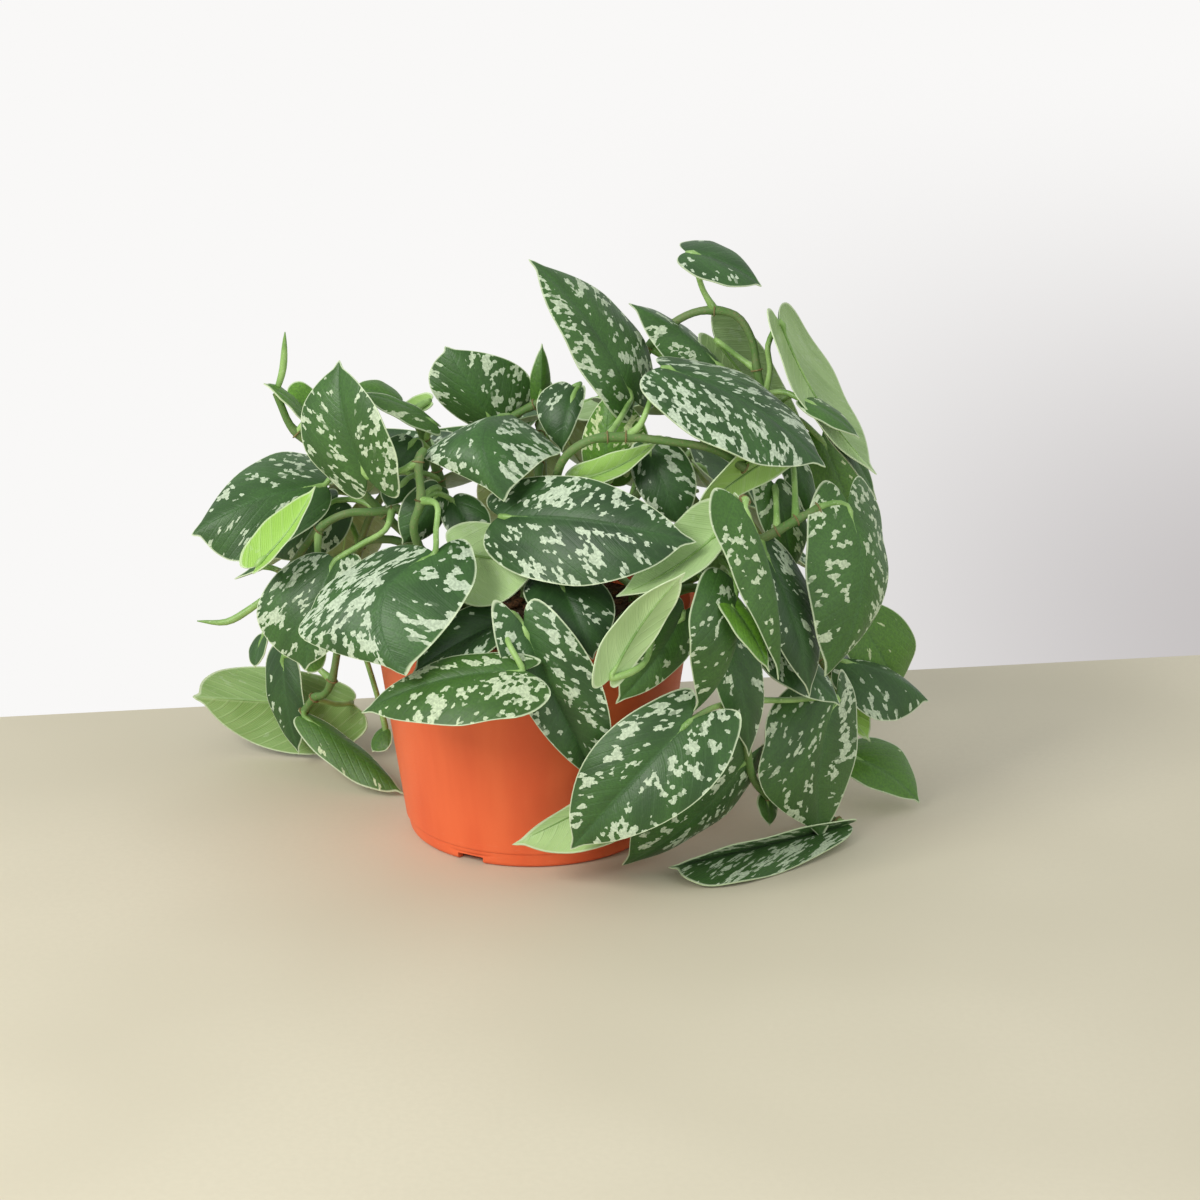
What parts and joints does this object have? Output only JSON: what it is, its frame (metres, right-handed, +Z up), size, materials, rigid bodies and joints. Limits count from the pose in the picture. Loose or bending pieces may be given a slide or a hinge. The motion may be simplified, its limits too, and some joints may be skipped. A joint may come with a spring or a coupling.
{
  "type": "potted pothos",
  "caption": "Trailing satin pothos in a tapered plastic nursery pot, with heart-shaped leaves spilling over the rim",
  "frame": {"origin": "middle of the flat disc under the pot, where the pot rests on the table", "axes": "+Z up along the pot's axis, -Y towards the viewer of the picture, +X to the viewer's right"},
  "size_m": [0.3508, 0.2822, 0.267],
  "materials": {
    "pot_plastic": "matte moulded orange polypropylene",
    "soil": "loose dark potting soil",
    "leaf": "satin dark green blades with silver blotches, paler undersides and green stalks"
  },
  "bodies": {
    "root": {"pot": "pot_plastic", "soil": "soil", "vine_top_right": "leaf", "vine_front_top": "leaf", "vine_left_front": "leaf", "vine_far_left": "leaf", "vine_left": "leaf", "vine_low_left": "leaf", "vine_front_left": "leaf", "vine_centre": "leaf", "vine_top_centre": "leaf", "vine_upper_left": "leaf", "vine_centre_right": "leaf", "vine_front_right": "leaf", "vine_right": "leaf", "vine_low_right": "leaf", "vine_right_back": "leaf", "vine_back_left": "leaf", "vine_back": "leaf", "vine_back_right": "leaf"}
  },
  "joints": []
}
